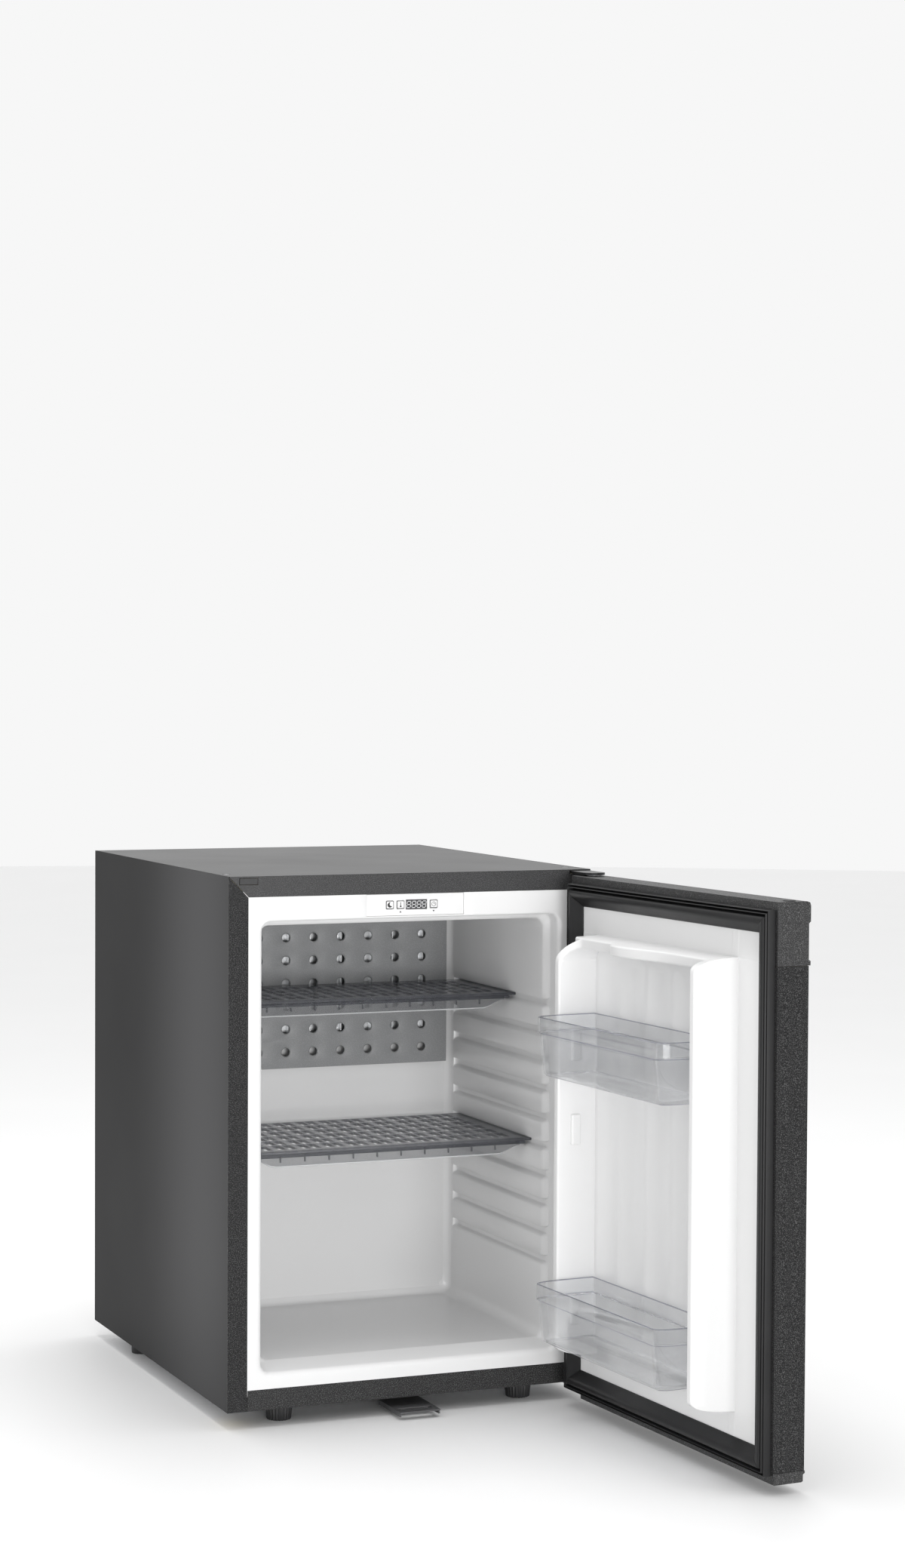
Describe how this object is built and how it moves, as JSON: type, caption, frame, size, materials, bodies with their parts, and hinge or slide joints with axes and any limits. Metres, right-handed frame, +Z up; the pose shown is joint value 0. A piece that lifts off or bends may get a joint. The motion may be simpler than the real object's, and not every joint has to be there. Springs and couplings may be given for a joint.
{
  "type": "minibar fridge",
  "caption": "Small free-standing fridge with an open hinged door, clear door racks, slotted shelves, a control strip and a tube cooling unit at the open back.",
  "frame": {"origin": "on the floor below the middle of the part's bounding box, with the door open as at rest", "axes": "+X to the right seen from the front, +Y to the back, +Z up"},
  "size_m": [0.4308, 0.9026, 0.5615],
  "materials": {
    "dark_painted_steel": "satin",
    "black_speckled_steel": "fine speckle",
    "galvanised_steel": "satin",
    "white_liner_plastic": "gloss",
    "insulation_foam": "matt",
    "grey_coated_plate": "satin",
    "plain_aluminium": "satin",
    "clear_plastic": "clear gloss",
    "smoky_clear_plastic": "clear gloss",
    "black_seal_rubber": "satin",
    "black_plastic": "matt",
    "plated_steel": "bright",
    "dark_catch_steel": "dark satin",
    "dark_display": "gloss",
    "circuit_board": "satin",
    "black_unit_steel": "satin",
    "grey_boiler_lagging": "matt"
  },
  "bodies": {
    "cabinet": {"side_panel_left": "dark_painted_steel", "side_panel_right": "dark_painted_steel", "top_panel": "dark_painted_steel", "front_rail": "black_speckled_steel", "base_panel": "galvanised_steel", "inner_liner": "white_liner_plastic", "insulation": "insulation_foam", "back_panel": "galvanised_steel", "evaporator_cover": "grey_coated_plate", "evaporator": "plain_aluminium", "control_panel": "white_liner_plastic", "display_window": "dark_display", "control_board": "circuit_board", "hinge_plate_top": "plated_steel", "hinge_plate_bottom": "plated_steel", "hinge_washer": "plated_steel", "top_screw_left": "plated_steel", "top_screw_right": "plated_steel", "flange_plug": "black_plastic", "lock_catch": "dark_catch_steel", "rear_foot_left": "black_plastic", "rear_foot_right": "black_plastic", "unit_plug": "insulation_foam", "absorber_vessel": "black_unit_steel", "absorber_coil": "black_unit_steel", "boiler_case": "grey_boiler_lagging", "rising_pipe": "black_unit_steel", "condenser": "black_unit_steel", "liquid_pipe": "black_unit_steel", "vapour_pipe": "black_unit_steel", "unit_strap_bottom": "galvanised_steel", "unit_strap_top": "galvanised_steel", "terminal_box": "black_plastic", "cord_gland": "black_plastic"},
    "door": {"door_skin": "dark_painted_steel", "door_top_trim": "black_plastic", "door_bottom_trim": "black_plastic", "door_bush_top": "white_liner_plastic", "door_bush_bottom": "white_liner_plastic", "door_plug": "black_plastic", "door_foam": "insulation_foam", "door_liner": "white_liner_plastic", "door_seal": "black_seal_rubber"},
    "shelf_upper": {"shelf_upper": "smoky_clear_plastic"},
    "shelf_lower": {"shelf_lower": "smoky_clear_plastic"},
    "rack_upper": {"rack_upper": "clear_plastic"},
    "rack_lower": {"rack_lower": "clear_plastic"},
    "button_night": {"button_night": "white_liner_plastic"},
    "button_temperature": {"button_temperature": "white_liner_plastic"},
    "button_timer": {"button_timer": "white_liner_plastic"},
    "front_foot_left": {"front_foot_left": "black_plastic"},
    "front_foot_right": {"front_foot_right": "black_plastic"},
    "lock_cylinder": {"lock_cylinder": "plated_steel"},
    "lock_bolt": {"lock_bolt": "dark_catch_steel"}
  },
  "joints": [
    {"name": "door_hinge", "type": "hinge", "parent": "cabinet", "child": "door", "pos_m": [0.17559, -0.05987, 0.2834], "axis": [0, 0, 1], "range_deg": [-93.35, 26.65]},
    {"name": "shelf_upper_slide", "type": "slide", "parent": "cabinet", "child": "shelf_upper", "axis": [0, -1, 0], "range_m": [0, 0.105]},
    {"name": "shelf_lower_slide", "type": "slide", "parent": "cabinet", "child": "shelf_lower", "axis": [0, -1, 0], "range_m": [0, 0.06]},
    {"name": "rack_upper_lift", "type": "slide", "parent": "door", "child": "rack_upper", "axis": [0, 0, 1], "range_m": [0, 0.02]},
    {"name": "rack_lower_lift", "type": "slide", "parent": "door", "child": "rack_lower", "axis": [0, 0, 1], "range_m": [0, 0.02]},
    {"name": "button_night_press", "type": "slide", "parent": "cabinet", "child": "button_night", "axis": [0, 1, 0], "range_m": [0, 0.0008], "stiffness_N_per_m": 600},
    {"name": "button_temperature_press", "type": "slide", "parent": "cabinet", "child": "button_temperature", "axis": [0, 1, 0], "range_m": [0, 0.0008], "stiffness_N_per_m": 600},
    {"name": "button_timer_press", "type": "slide", "parent": "cabinet", "child": "button_timer", "axis": [0, 1, 0], "range_m": [0, 0.0008], "stiffness_N_per_m": 600},
    {"name": "front_foot_left_adjust", "type": "slide", "parent": "cabinet", "child": "front_foot_left", "axis": [0, 0, -1], "range_m": [0, 0.006]},
    {"name": "front_foot_right_adjust", "type": "slide", "parent": "cabinet", "child": "front_foot_right", "axis": [0, 0, -1], "range_m": [0, 0.006]},
    {"name": "lock_turn", "type": "hinge", "parent": "door", "child": "lock_cylinder", "pos_m": [0.20286, -0.2486, 0.04], "axis": [-0.9983, -0.0584, 0], "range_deg": [0, 90]},
    {"name": "lock_bolt_slide", "type": "slide", "parent": "door", "child": "lock_bolt", "axis": [0, 0, -1], "range_m": [0, 0.0055]}
  ],
  "couplings": [
    {"joint": "lock_bolt_slide", "follows": "lock_turn", "m_per_rad": 0.0035014}
  ]
}
